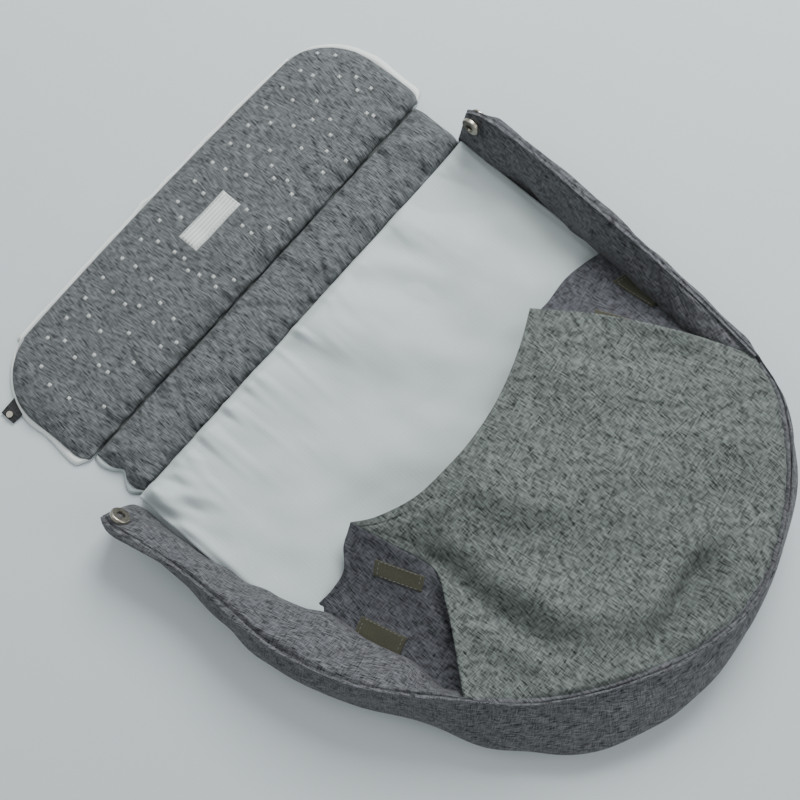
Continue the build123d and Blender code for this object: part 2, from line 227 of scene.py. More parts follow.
def melange(name, pale, dark, mix, sheen=0.06, cross=0.35, contrast=0.85):
    """Melange polyester canvas: pale and dark fibres spun into each yarn show as fine broken streaks
    along warp and weft. The warp's streaks lead, and cross is how strongly the weft's show."""
    made, shader = new_material(name)
    links = made.node_tree.links
    chart = node(made, "ShaderNodeUVMap").outputs["UV"]
    place = node(made, "ShaderNodeSeparateXYZ", inputs={"Vector": chart}).outputs
    streaks = []
    for across, along in (("X", "Y"), ("Y", "X")):
        yarn = node(made, "ShaderNodeMath", {"operation": "DIVIDE"},
                    {0: place[across], 1: YARN * MM}).outputs[0]
        number = node(made, "ShaderNodeMath", {"operation": "FLOOR"}, {0: yarn}).outputs[0]
        start = node(made, "ShaderNodeTexWhiteNoise", {"noise_dimensions": "1D"},
                     {"W": number}).outputs["Value"]
        fibre = node(made, "ShaderNodeMath", {"operation": "DIVIDE"},
                     {0: place[along], 1: FIBRE * MM}).outputs[0]
        fibre = node(made, "ShaderNodeMath", {"operation": "MULTIPLY_ADD"},
                     {0: start, 1: YARN_SHIFT, 2: fibre}).outputs[0]
        streaks.append(node(made, "ShaderNodeTexNoise", {"noise_dimensions": "1D"}, {
            "W": fibre, "Scale": 1.0, "Detail": 1.0, "Roughness": 0.5}).outputs["Fac"])
    both = node(made, "ShaderNodeMath", {"operation": "MULTIPLY_ADD"},
                {0: streaks[1], 1: cross, 2: streaks[0]}).outputs[0]
    middle, reach = (1 + cross) / 2, SPREAD / contrast
    spread = node(made, "ShaderNodeMapRange", inputs={
        "Value": both, "From Min": middle - reach, "From Max": middle + reach})
    slow = node(made, "ShaderNodeTexNoise", inputs={"Vector": chart, "Scale": 18.0, "Detail": 2.0})
    tint = node(made, "ShaderNodeMix", {"data_type": "RGBA"}, {
        "Factor": slow.outputs["Fac"], "A": linear(dark), "B": linear(mix)}).outputs["Result"]
    colour = node(made, "ShaderNodeMix", {"data_type": "RGBA"}, {
        "Factor": spread.outputs["Result"], "A": tint, "B": linear(pale)}).outputs["Result"]
    links.new(colour, shader.inputs["Base Color"])
    shader.inputs["Roughness"].default_value = 0.85
    shader.inputs["Sheen Weight"].default_value = sheen
    shader.inputs["Sheen Roughness"].default_value = 0.5
    shader.inputs["Specular IOR Level"].default_value = 0.3
    weave = []
    for direction in ("X", "Y"):
        weave.append(node(made, "ShaderNodeTexWave", {"bands_direction": direction}, {
            "Vector": chart, "Scale": math.pi / 10 / 1.1 / MM / math.pi, "Distortion": 0.6,
            "Detail": 1.0, "Detail Scale": 2.0}).outputs["Fac"])
    woven = node(made, "ShaderNodeMath", {"operation": "MULTIPLY"}, {0: weave[0], 1: weave[1]}).outputs[0]
    raised = node(made, "ShaderNodeMath", {"operation": "MULTIPLY_ADD"},
                  {0: both, 1: 0.8, 2: woven}).outputs[0]
    bump = node(made, "ShaderNodeBump", inputs={"Height": raised, "Strength": 0.25, "Distance": 0.0003})
    links.new(bump.outputs["Normal"], shader.inputs["Normal"])
    return made


wall_cloth = melange("melange_polyester_walls", "#6d6f73", "#121316", "#1c1d21", cross=0.6, contrast=0.85)

# Each row is a place along the rim: inner foot (x, y), fullest inside, stitched seam, fullest outside.
LEFT_AND_FOOT = [
    [(-187, 127.5), (-195, 128, 26), (-204, 128, 34), (-207, 128, 24)],
    [(-185, 114), (-193, 114, 29), (-205, 116, 41), (-205, 114, 26)],
    [(-183, 86), (-189, 88, 27), (-200, 92, 43), (-201, 88, 24)],
    [(-179, 50), (-184, 51, 26), (-195, 53, 45), (-201, 50, 22)],
    [(-173, 15), (-178, 15, 27), (-194, 15, 47), (-205, 14, 21)],
    [(-162, -22), (-167, -22, 28), (-193, -22, 50), (-207, -24, 20)],
    [(-150, -60), (-151, -60, 31), (-184, -62, 53), (-198, -65, 20)],
    [(-142, -96), (-142, -96, 36), (-168, -97, 55), (-184, -103, 20)],
    [(-136, -132), (-139, -130, 42), (-141, -137, 57), (-162, -150, 20)],
    [(-117, -160), (-116, -165, 42), (-114, -175, 56), (-142, -192, 20)],
    [(-88, -188), (-86, -195, 40), (-80, -206, 54), (-113, -231, 20)],
    [(-48, -208), (-46, -218, 40), (-42, -230, 53), (-64, -260, 22)],
    [(-8, -222), (-2, -236, 40), (2, -249, 54), (-10, -270, 27)],
    [(34, -226), (42, -238, 40), (45, -254, 55), (42, -265, 31)],
    [(78, -214), (84, -226, 40), (90, -240, 56), (94, -248, 34)],
    [(118, -192), (122, -202, 41), (131, -217, 57), (139, -224, 32)],
    [(148, -164), (152, -172, 42), (165, -183, 57), (172, -188, 30)],
    [(163, -136), (168, -140, 43), (178, -151, 58), (183, -156, 29)],
]
RIGHT = [
    [(189, 127.5), (189, 128, 26), (193, 128, 40), (197, 128, 26)],
    [(187.5, 114), (188, 114, 27), (196, 115, 48), (198, 114, 26)],
    [(187, 88), (187, 88, 28), (197, 90, 51), (200, 88, 26)],
    [(187, 50), (186, 50, 28), (196, 51, 53), (200, 50, 26)],
    [(186, 12), (184, 12, 30), (193, 12, 55), (198, 12, 26)],
    [(183, -26), (180, -26, 32), (191, -26, 56), (195, -28, 27)],
    [(177, -64), (175, -64, 36), (188, -65, 57), (193, -66, 28)],
    [(170, -102), (168, -102, 41), (184, -104, 58), (188, -106, 29)],
    [(163, -136), (168, -140, 43), (178, -151, 58), (183, -156, 29)],
]
WALL_STEP = 2.4       # mm between rows of the mesh
AROUND = 8            # mesh columns between neighbouring guide lines
FLOOR_GAP = 0.4       # mm between the cloth and the ground
STITCH_GROOVE = 3.0   # mm that the topstitching pulls the rim in


def wall_rings(places, rolls):
    """Closed rings round the padded band; its rim rolls out by the two widths given, head and end."""
    foot, inside, seam, outside = (np.array([p[i] if len(p[i]) == 3 else p[i] + (5,) for p in places], float)
                                   for i in range(4))
    length = np.linalg.norm(np.diff(seam, axis=0), axis=1).sum()
    at = np.linspace(0, len(places) - 1, int(length / WALL_STEP))
    foot, inside, seam, outside = (run(line, at) for line in (foot, inside, seam, outside))
    out = (outside - inside) * (1, 1, 0)
    out /= np.linalg.norm(out, axis=1, keepdims=True)
    up = np.array([0, 0, 1.0])
    ground = outside * (1, 1, 0) - out * 9 + up * 0.5
    roll = seam + out * np.linspace(*rolls, len(at))[:, None] - up * 3
    guides = [foot * (1, 1, 0) + out * 4 + up * 0.5, foot, inside,
              seam * 0.72 + inside * 0.28 + up * 1.5 - out * 1, seam, (seam + roll) / 2 + up * 3.0, roll, (roll + outside) / 2 + out * 1.5, outside,
              outside * 0.45 + ground * 0.55 + out * 2.5, ground]
    count = len(guides)
    ring = np.stack(guides + guides[:3], axis=0)
    around = np.linspace(0, count, count * AROUND + 1)
    rings = run(ring[[count - 1] + list(range(count + 2))], around + 1)
    rings = rings.transpose(1, 0, 2)
    along = np.concatenate([[0], np.cumsum(np.linalg.norm(np.diff(seam, axis=0), axis=1))])[:, None]
    thin = np.sqrt(np.clip(1 - (1 - np.clip(along / 7.0, 0, 1)) ** 2, 0, 1))
    height = np.clip(rings[:, :, 2] / seam[:, None, 2], 0, 1)[..., None]
    middle = ((foot + ground) / 2)[:, None] * (1 - height) + (seam + out * 3)[:, None] * height
    away = ((rings - middle) * out[:, None]).sum(2, keepdims=True)
    rings = rings - away * out[:, None] * (1 - thin[..., None])
    return rings, along, around[None, :]


def wrinkle_wall(rings, along, around, seed):
    """Gathers beside the topstitching, slanting pulls down the facing and soft dents outside."""
    seam_at = around - 4
    beside = np.abs(seam_at) * 9
    inner = smooth(0.6, 1.4, around) * (1 - smooth(3.4, 4, around))
    outer = smooth(4.6, 5.6, around) * (1 - smooth(9.2, 9.9, around))
    height = 0 * beside
    height = height + 0.9 * np.exp(-beside / 9) * lumps(along, around * 2, 9, seed) * smooth(0.5, 3, beside)
    height = height + inner * 3.2 * lumps(along * 0.42 + around * 13, along * 0.1 - around * 3, 15, seed + 1)
    height = height + inner * 2.8 * lumps(along, around * 18, 46, seed + 2)
    height = height + outer * 2.4 * lumps(along * 0.45 + around * 3, around * 16, 24, seed + 3)
    height = height + outer * 1.8 * lumps(along, around * 20, 60, seed + 4)
    ends = smooth(0, 16, along) * smooth(0, 16, along[-1] - along)
    height = height * ends * smooth(0.2, 1.0, around) * (1 - smooth(10, 10.9, around))
    height = height - STITCH_GROOVE * np.exp(-(beside / 1.5) ** 2) * smooth(0, 8, along)
    return rings + facing(rings) * height[..., None]


def press_in(points, middle, axis):
    """Pull the padding in to the wall's 8 mm where a press stud is set through it."""
    from_middle = points - np.array(middle)
    off = from_middle @ np.array(axis)
    radius = np.linalg.norm(from_middle - off[..., None] * np.array(axis), axis=-1)
    hold = 1 - smooth(7.5, 17, radius)
    return points + ((np.clip(off, -4.0, 4.0) - off) * hold)[..., None] * np.array(axis)


def finish_wall(name, rings):
    piece = lay_cloth(name, rings, weld=True, around=True)
    piece.data.materials.append(wall_cloth)
    return piece


LEFT_LEAN, RIGHT_LEAN = math.radians(35), math.radians(3)
rings, along, around = wall_rings(LEFT_AND_FOOT, (7.0, 3.5))
rings = wrinkle_wall(rings, along, around, 3)
rings = press_in(rings, (-201.6, 117.5, 33.5), (math.cos(LEFT_LEAN), 0, math.sin(LEFT_LEAN)))
rings[..., 2] = np.maximum(rings[..., 2], FLOOR_GAP)
left_wall = finish_wall("left_wall_and_foot", rings)
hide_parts("left_wall_cover", "left_wall_facing", "left_wall_wadding",
            "foot_wall_cover", "foot_wall_facing", "foot_wall_wadding")
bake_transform(left_wall)

rings, along, around = wall_rings(RIGHT, (8.0, 3.5))
rings = wrinkle_wall(rings, along, around, 11)
rings = press_in(rings, (192.9, 117.5, 39.95), (-math.cos(RIGHT_LEAN), 0, math.sin(RIGHT_LEAN)))
rings[..., 2] = np.maximum(rings[..., 2], FLOOR_GAP)
right_wall = finish_wall("right_wall_side", rings)
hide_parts("right_wall_cover", "right_wall_facing", "right_wall_wadding")
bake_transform(right_wall)


# ---- Base ----
# Flat pad the baby's blanket lies on: grey cloth under, wadding, and a smooth white lining over it.
# The lining is caught in the seam with the collar, which gathers it into small creases.
HEAD_Y, FOOT_Y = 123.5, -236.0
BASE_MIDDLE = 3.0
PAD_TOP = 4.0


def base_edge(y, grow=0.0):
    """Left and right edge of the base at y."""
    y = np.asarray(y, float)
    curve = np.clip((20 - y) / 262, 0, 0.995) ** 2.3
    half = (183 + grow) * (1 - curve) ** (1 / 2.3)
    return BASE_MIDDLE - half, BASE_MIDDLE + half


def base_points(rows, columns, top, grow):
    v = np.linspace(0, 1, rows)[:, None]
    u = np.linspace(0, 1, columns)[None, :]
    y = HEAD_Y + (FOOT_Y - HEAD_Y) * v + 0 * u
    low, high = base_edge(y, grow)
    x = low + (high - low) * u
    return x, y, top(x, y, u, v)


def lining_height(x, y, u, v):
    """Soft billows, a rise where it meets the walls and creases that run out from the collar seam."""
    from_seam = HEAD_Y - y
    rise = 3.2 * (np.exp(-u * 38) + np.exp(-(1 - u) * 38))
    left_more = 0.45 + 0.75 * smooth(90, -120, x)
    creases = np.maximum(lumps(x, y * 0.16, 8.5, 5, 1), -0.1) * np.exp(-from_seam / 20) * 12.0 * left_more
    pull = lumps(x * 0.8 + y * 0.3, y * 0.25 - x * 0.05, 30, 6) * 8.0 * np.exp(-from_seam / 60)
    corner = np.exp(-(np.hypot(x + 172, y - 110) / 30) ** 2)
    corner_folds = corner * 10.0 * lumps(x + y * 0.4, y * 0.3, 9, 8, 1)
    billow = 6.0 * lumps(x, y, 95, 7) + 4.5 * lumps(x * 0.5 + y, y * 0.4 - x, 60, 9)
    held = smooth(-4, 9, from_seam) * smooth(0, 0.02, u) * smooth(0, 0.02, 1 - u)
    height = np.maximum(creases + pull + corner_folds + billow + 3.4, -1.0)
    return 6.2 + rise + height * held


lining_cloth, shader = new_material("white_cotton_poplin_lining")
chart = node(lining_cloth, "ShaderNodeUVMap").outputs["UV"]
weave_u = node(lining_cloth, "ShaderNodeTexWave", {"bands_direction": "X"}, {
    "Vector": chart, "Scale": 0.1 / (0.9 * MM), "Distortion": 0.4}).outputs["Fac"]
weave_v = node(lining_cloth, "ShaderNodeTexWave", {"bands_direction": "Y"}, {
    "Vector": chart, "Scale": 0.1 / (0.9 * MM), "Distortion": 0.4}).outputs["Fac"]
plain = node(lining_cloth, "ShaderNodeMath", {"operation": "MULTIPLY"}, {0: weave_u, 1: weave_v}).outputs[0]
slow = node(lining_cloth, "ShaderNodeTexNoise", inputs={"Vector": chart, "Scale": 9.0, "Detail": 3.0})
tone = node(lining_cloth, "ShaderNodeMix", {"data_type": "RGBA"}, {
    "Factor": slow.outputs["Fac"], "A": linear("#b0bbbc"), "B": linear("#bfc9c9")}).outputs["Result"]
lining_cloth.node_tree.links.new(tone, shader.inputs["Base Color"])
bump = node(lining_cloth, "ShaderNodeBump", inputs={"Height": plain, "Strength": 0.12, "Distance": 0.0003})
lining_cloth.node_tree.links.new(bump.outputs["Normal"], shader.inputs["Normal"])
shader.inputs["Roughness"].default_value = 0.7
shader.inputs["Sheen Weight"].default_value = 0.15

x, y, z = base_points(190, 200, lining_height, 0)
lining = lay_cloth("white_base_lining", np.stack([x, y, z], axis=2), flip=True)
thicken(lining, 0.8)
lining.data.materials.append(lining_cloth)
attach(lining, "apron_body")
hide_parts("base_lining")

x, y, z = base_points(60, 60, lambda x, y, u, v: PAD_TOP + 0 * x, -2)
pad = lay_cloth("base_pad", np.stack([x, y, z], axis=2), flip=True)
thicken(pad, PAD_TOP - FLOOR_GAP)
pad.data.materials.append(wall_cloth)
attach(pad, "apron_body")
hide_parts("base_outer_shell", "base_wadding")


# ---- Foot pouch ----
# One thin sheet of grey canvas sewn into the foot rim. Its front half is loose and its mouth is
# hemmed. The real pouch folds back over the foot on the line between the two side folds; this sheet
# is built in one fixed shape.
pouch_cloth = melange("melange_canvas_pouch", "#747c79", "#0f1313", "#1a1f1e", cross=0.7, contrast=0.85)
CANVAS = 1.4    # mm, the canvas with its thin lining
MOUTH = [(-95, -8, 30), (-80, -20, 35), (-53, -32, 44), (-21, -36, 50), (7, -36, 51), (41, -31, 51),
         (76, -20, 51), (104, -7, 50)]
FOOT_SEAM = [(-137, -146, 57), (-114, -176, 56), (-80, -206, 54), (-42, -230, 53.5), (2, -250, 54.5),
             (45, -255, 55.5), (90, -241, 56.5), (131, -217, 57), (165, -183, 57.5), (178, -151, 58)]
LEFT_FOLD = [(-95, -8, 30), (-88, -42, 34), (-82, -74, 33), (-96, -97, 41), (-112, -117, 49), (-137, -146, 57)]
RIGHT_FOLD = [(104, -7, 50), (133, -49, 52), (160, -102, 55), (178, -151, 58)]


def along_line(points, t):
    """Points at shares t of a smooth line's length."""
    fine = run(points, np.linspace(0, len(points) - 1, 400))
    far = np.concatenate([[0], np.cumsum(np.linalg.norm(np.diff(fine, axis=0), axis=1))])
    return np.stack([np.interp(t, far / far[-1], fine[:, i]) for i in range(3)], axis=-1)


def crease(x, y, start, end, width):
    """A soft ridge between two points, 1 on its line and fading at its ends."""
    start, end = np.array(start, float), np.array(end, float)
    d = end - start
    size = np.linalg.norm(d)
    t = ((x - start[0]) * d[0] + (y - start[1]) * d[1]) / size ** 2
    off = ((x - start[0]) * d[1] - (y - start[1]) * d[0]) / size
    return np.exp(-(off / width) ** 2) * smooth(-0.15, 0.25, t) * (1 - smooth(0.75, 1.15, t))


def stretch_between(front, back, left, right, rows, columns):
    """A sheet stretched between four edge lines: rows run back, columns from left to right."""
    v = np.linspace(0, 1, rows)[:, None, None]
    u = np.linspace(0, 1, columns)[None, :, None]
    front, back = along_line(front, u[0, :, 0])[None], along_line(back, u[0, :, 0])[None]
    left, right = along_line(left, v[:, 0, 0])[:, None], along_line(right, v[:, 0, 0])[:, None]
    corners = ((1 - u) * (1 - v) * front[:, :1] + u * (1 - v) * front[:, -1:]
               + (1 - u) * v * back[:, :1] + u * v * back[:, -1:])
    return (1 - v) * front + v * back + (1 - u) * left + u * right - corners, u[..., 0], v[..., 0]


points, u, v = stretch_between(MOUTH, FOOT_SEAM, LEFT_FOLD, RIGHT_FOLD, 200, 210)
x, y = points[..., 0], points[..., 1]
dome = (6.5 * np.clip(4 * u * (1 - u), 0, 1) ** 0.7 * smooth(0, 0.35, v) * (1 - v) ** 0.6
        + 17.0 * smooth(0.02, 0.40, u) * (1 - u) ** 1.3 * (1 - v) ** 0.4 * smooth(0, 0.10, v))
sag = -5.0 * np.exp(-((u - 0.66) / 0.22) ** 2) * np.exp(-((v - 0.12) / 0.2) ** 2)
folds = (4.0 * crease(x, y, (-70, -110), (0, -212), 20) - 8.0 * crease(x, y, (-36, -222), (52, -212), 10)
         + 3.0 * crease(x, y, (-20, -206), (62, -196), 9) + 3.0 * crease(x, y, (20, -238), (84, -224), 8)
         + 4.0 * crease(x, y, (-66, -60), (-44, -190), 13) - 5.0 * crease(x, y, (-84, -62), (-74, -170), 11)
         + 3.0 * crease(x, y, (-98, -112), (-84, -176), 8)
         - 4.5 * crease(x, y, (95, -60), (160, -124), 13) + 3.5 * crease(x, y, (20, -110), (140, -170), 24)
         - 3.5 * crease(x, y, (-10, -70), (90, -120), 22) + 2.5 * crease(x, y, (60, -30), (130, -110), 14)
         - 3.0 * crease(x, y, (-40, -50), (-10, -130), 16))
soft = 4.5 * lumps(x, y, 80, 21) + 2.2 * lumps(x + 0.4 * y, y, 30, 22)
edge = smooth(0, 0.10, v) * smooth(0, 0.04, 1 - v) * smooth(0, 0.06, u) * smooth(0, 0.05, 1 - u)
hem_step = -0.9 * np.exp(-((v - 0.045) / 0.004) ** 2) + 0.35 * (1 - smooth(0.04, 0.047, v))
gathers = 1.2 * lumps(u * 420, v * 30, 9, 23) * np.exp(-(1 - v) / 0.05) * smooth(0, 0.012, 1 - v)
points[..., 2] += (dome + sag) * smooth(0, 0.03, 1 - v) + (1.45 * folds + soft) * edge + hem_step + gathers
points[..., 2] -= 2.6 * np.exp(-(1 - v) / 0.010)
pouch = lay_cloth("pouch_cover", points, flip=True)
thicken(pouch, CANVAS)
pouch.data.materials.append(pouch_cloth)
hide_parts("pouch_front_panel", "pouch_front_lining", "pouch_rear_panel", "pouch_rear_lining",
            "pouch_mouth_hem")
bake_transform(pouch)


# ---- Foot rim binding ----
# A narrow folded strip of the wall's cloth that closes the seam between pouch and foot wall. It
# rolls slightly and gathers where the rim turns.
BINDING_WIDTH = 6.0
t = np.linspace(0.015, 0.985, 330)
middle = along_line(FOOT_SEAM, t)
forward = np.gradient(middle, axis=0) * (1, 1, 0)
forward /= np.linalg.norm(forward, axis=1, keepdims=True)
outward = np.stack([forward[:, 1], -forward[:, 0], 0 * t], axis=1)
outward *= np.sign((outward * (middle - (20, -100, 0))).sum(1, keepdims=True))
w = np.linspace(-0.5, 0.5, 12)[None, :]
width = BINDING_WIDTH * (0.75 + 0.35 * lumps(t * 620, 0 * t, 60, 61, 1))[:, None]
points = middle[:, None] + outward[:, None] * (w * width - 0.5)[..., None]
roll = 1.4 * (1 - (2 * w) ** 2) + 0.6 * lumps(t[:, None] * 620, w * 6, 9, 62)
points[..., 2] += roll - 0.4 - 2.2 * np.clip(w, 0, 1)
binding = lay_cloth("rim_binding", points)
thicken(binding, 1.0)
binding.data.materials.append(wall_cloth)
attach(binding, "apron_body")
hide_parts("foot_rim_binding")


# ---- Wings ----
# Triangles of the same canvas that run on from the pouch's side folds down to the lining, hemmed in
# front. They close round a blanket with strips of hook-and-loop tape.
# The wings' canvas is a darker copy of the pouch's canvas: painted shade for the shadow that the pouch and
# walls cast on the wings.
shaded_wing_cloth = melange("melange_canvas_wings_painted_shade", "#595b61", "#0d0f12", "#15171b", cross=0.7, contrast=0.85)
LEFT_FRONT = [(-158, -26, 9), (-140, -28, 14), (-124, -26, 19), (-111, -15, 25), (-102, -11, 28), (-95, -8, 30)]
LEFT_OUTER = [(-158, -26, 9), (-160, -60, 15), (-151, -96, 24), (-143, -126, 34), (-135, -144, 45)]
LEFT_INNER = [(-95, -8, 30), (-88, -42, 34), (-82, -74, 33), (-88, -100, 35), (-104, -122, 40),
              (-126, -141, 45)]
LEFT_REAR = [(-135, -144, 45), (-130, -143, 45), (-126, -141, 45)]
RIGHT_FRONT = [(100, -12, 46), (121, -12, 31), (146, -10, 24), (168, -13, 19), (192, -19, 15)]
RIGHT_INNER = [(100, -12, 46), (122, -50, 46), (144, -90, 47), (156, -118, 49)]
RIGHT_OUTER = [(192, -19, 15), (186, -50, 20), (181, -80, 28), (172, -112, 40)]
RIGHT_REAR = [(156, -118, 49), (164, -115, 45), (172, -112, 40)]


def hem_line(v):
    """The stitched step of a hem, 8 mm behind the front edge."""
    return 0.4 * (1 - smooth(0.062, 0.07, v)) - 0.5 * np.exp(-((v - 0.07) / 0.006) ** 2)


points, u, v = stretch_between(LEFT_FRONT, LEFT_REAR, LEFT_OUTER, LEFT_INNER, 110, 80)
x, y = points[..., 0], points[..., 1]
within = smooth(0, 0.12, 1 - u) * smooth(0, 0.04, v)
points[..., 2] += (hem_line(v) + within * (2.0 * lumps(x, y * 0.6, 24, 31) + 1.2 * lumps(x, y, 60, 32)
                                           - 4.0 * np.sin(np.pi * u) * (1 - v)
                                           - 6.0 * crease(x, y, (-92, -84), (-116, -138), 6)
                                           + 3.0 * crease(x, y, (-104, -100), (-126, -140), 5)))
left_wing = lay_cloth("left_wing_cover", points, flip=True)
thicken(left_wing, CANVAS)
left_wing.data.materials.append(shaded_wing_cloth)
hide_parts("left_wing_panel", "left_wing_hem")

points, u, v = stretch_between(RIGHT_FRONT, RIGHT_REAR, RIGHT_INNER, RIGHT_OUTER, 110, 80)
x, y = points[..., 0], points[..., 1]
within = smooth(0, 0.08, u) * smooth(0, 0.04, v)
points[..., 2] += hem_line(v) + within * (2.2 * lumps(x, y, 30, 37)
                                          + 1.6 * crease(x, y, (118, -20), (160, -80), 7)
                                          - 1.6 * crease(x, y, (140, -30), (176, -90), 8))
right_wing = lay_cloth("right_wing_cover", points, flip=True)
thicken(right_wing, CANVAS)
right_wing.data.materials.append(shaded_wing_cloth)
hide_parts("right_wing_panel", "right_wing_hem")


# ---- Hook-and-loop patches ----
# Woven loop tape in dark olive, 16 mm wide, cut into short lengths and box-stitched to the wings, two
# on each. The pile is short and dull.
tape, shader = new_material("nylon_loop_tape")
chart = node(tape, "ShaderNodeUVMap").outputs["UV"]
pile = node(tape, "ShaderNodeTexNoise", inputs={
    "Vector": chart, "Scale": 1 / (0.9 * MM), "Detail": 3.0}).outputs["Fac"]
tone = node(tape, "ShaderNodeMix", {"data_type": "RGBA"},
            {"Factor": pile, "A": linear("#1d1e17"), "B": linear("#4a4a3a")}).outputs["Result"]
tape.node_tree.links.new(tone, shader.inputs["Base Color"])
bump = node(tape, "ShaderNodeBump", inputs={"Height": pile, "Strength": 0.6, "Distance": 0.0006})
tape.node_tree.links.new(bump.outputs["Normal"], shader.inputs["Normal"])
shader.inputs["Roughness"].default_value = 0.95
shader.inputs["Sheen Weight"].default_value = 0.15
thread, shader = new_material("grey_polyester_thread")
shader.inputs["Base Color"].default_value = linear("#6a6c6c")
shader.inputs["Roughness"].default_value = 0.6


def ground_of(piece):
    """A function that gives the height in mm of a piece's top at points given in mm."""
    mesh = piece.data
    tree = BVHTree.FromPolygons([v.co for v in mesh.vertices], [p.vertices for p in mesh.polygons])

    def height(x, y):
        found = [tree.ray_cast(Vector((a * MM, b * MM, 0.2)), Vector((0, 0, -1)))[0]
                 for a, b in zip(np.ravel(x), np.ravel(y))]
        usual = [f.z for f in found if f is not None]
        return np.array([f.z if f is not None else usual[0] for f in found]).reshape(np.shape(x)) / MM
    return height


def stitch_run(name, corners, height, lift, pitch=3.2, length=2.1, radius=0.22):
    """Short raised stitches one after another along straight runs between corners."""
    deselect()
    made = []
    for (ax, ay), (bx, by) in zip(corners[:-1], corners[1:]):
        size = math.hypot(bx - ax, by - ay)
        for k in range(max(1, int(size / pitch))):
            t = (k + 0.5) * pitch / size
            cx, cy = ax + (bx - ax) * t, ay + (by - ay) * t
            reach = length / 2 / size
            ends = [(cx - (bx - ax) * reach * s, cy - (by - ay) * reach * s) for s in (1, -1)]
            z = height([e[0] for e in ends], [e[1] for e in ends]) + lift
            a, b = (Vector((e[0], e[1], h)) * MM for e, h in zip(ends, z))
            made.append((a, b))
    bpy.ops.mesh.primitive_uv_sphere_add(segments=8, ring_count=6, radius=1)
    pattern = bpy.context.active_object
    deselect()
    for a, b in made:
        stitch = pattern.copy()
        stitch.data = pattern.data.copy()
        bpy.context.scene.collection.objects.link(stitch)
        size = Vector((radius * MM, radius * MM, (b - a).length / 2))
        stitch.matrix_world = Matrix.LocRotScale((a + b) / 2, (b - a).to_track_quat("Z", "Y"), size)
        stitch.select_set(True)
    bpy.data.objects.remove(pattern)
    bpy.context.view_layer.objects.active = stitch
    bpy.context.view_layer.update()
    bpy.ops.object.join()
    bpy.ops.object.transform_apply(location=True, rotation=True, scale=True)
    piece = bpy.context.active_object
    piece.name = piece.data.name = name
    piece.data.materials.clear()
    piece.data.materials.append(thread)
    bpy.ops.object.shade_smooth()
    return piece


def tape_patch(name, corners, height, wing, replaced, bodies, start, end):
    """A length of tape laid on the wing between four corners, with its box of stitches."""
    a, b, c, d = (np.array(p, float) for p in corners)
    v = np.linspace(0, 1, 30)[:, None, None]
    u = np.linspace(0, 1, 14)[None, :, None]
    flat = (1 - u) * (1 - v) * a + (1 - u) * v * b + u * v * c + u * (1 - v) * d
    rim = smooth(0, 0.07, np.minimum(np.minimum(u, 1 - u), np.minimum(v, 1 - v) * 2))[..., 0]
    z = height(flat[..., 0], flat[..., 1]) + 0.5 + 0.6 * rim + 0.12 * lumps(flat[..., 0], flat[..., 1], 3, 71)
    piece = lay_cloth(name, np.concatenate([flat, z[..., None]], axis=2))
    if piece.data.polygons[0].normal.z < 0:
        piece.data.flip_normals()
    thicken(piece, 0.9)
    piece.data.materials.append(tape)
    centre = (a + b + c + d) / 4
    box = [tuple(centre + (p - centre) * 0.84) for p in (a, b, c, d, a)]
    seam = stitch_run(name + "_stitches", box, height, 1.25)
    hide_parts(replaced)
    for each in (piece, seam):
        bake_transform(each)


left_bend = dict(start=(-0.096, -0.055, 0.05), end=(-0.118, -0.047, 0.04))
right_bend = dict(start=(0.100, -0.055, 0.05), end=(0.124, -0.047, 0.04))
on_left, on_right = ground_of(left_wing), ground_of(right_wing)
tape_patch("left_front_tape", [(-103, -38), (-90, -73), (-100, -78), (-113, -44)], on_left, left_wing,
           "left_wing_front_patch", ("pouch_front", "left_wing"), **left_bend)
tape_patch("left_rear_tape", [(-139, -56), (-130, -91), (-144, -95), (-153, -60)], on_left, left_wing,
           "left_wing_rear_patch", ("pouch_front", "left_wing"), **left_bend)
tape_patch("right_front_tape", [(140, -42), (153, -78), (139, -83), (126, -47)], on_right, right_wing,
           "right_wing_front_patch", ("pouch_front", "right_wing"), **right_bend)
tape_patch("right_rear_tape", [(183, -42), (183, -76), (169, -73), (168, -38)], on_right, right_wing,
           "right_wing_rear_patch", ("pouch_front", "right_wing"), **right_bend)
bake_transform(left_wing)
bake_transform(right_wing)


# ---- Collar strip ----
# Narrow quilted pad between the body seam and the quilting seam, grey melange over thick wadding,
# with a white back that rolls out a little past its left end.
collar_cloth = melange("melange_polyester_collar", "#73787a", "#111315", "#1c1f23", cross=0.35, contrast=0.85)
QUILT_Y = 170.5


def pad_height(from_edge, full, roundness):
    """Height of a stuffed pad at a distance from its seam."""
    t = np.clip(from_edge / roundness, 0, 1)
    return full * np.sqrt(np.clip(1 - (1 - t) ** 2, 0, 1))


def closed_pad(name, x, y, top, under, material):
    """A top sheet and an under sheet sewn together round the edge."""
    upper = np.stack([x, y, top], axis=2)
    lower = np.stack([x, y, under], axis=2)
    rim = np.minimum(np.arange(x.shape[0]), np.arange(x.shape[0])[::-1])[:, None] + 0 * x
    rim = np.minimum(rim, np.minimum(np.arange(x.shape[1]), np.arange(x.shape[1])[::-1])[None, :])
    half = (upper + lower) / 2
    shut = (rim == 0)[..., None]
    upper, lower = np.where(shut, half, upper), np.where(shut, half, lower)
    piece = lay_cloth(name, np.concatenate([upper, lower[-2::-1]], axis=0), weld=True)
    piece.data.materials.append(material)
    return piece


def strip_ends(y):
    """Left and right end of the strip at y, pinched between its two stuffed lengths."""
    left = -178 + 4.5 * np.exp(-((y - 147) / 5) ** 2) + 3 * np.exp(-((y - 124) / 5) ** 2)
    right = 187.5 - 2 * np.exp(-((y - 124) / 5) ** 2) - 2 * np.exp(-((y - 170) / 5) ** 2)
    return left, right


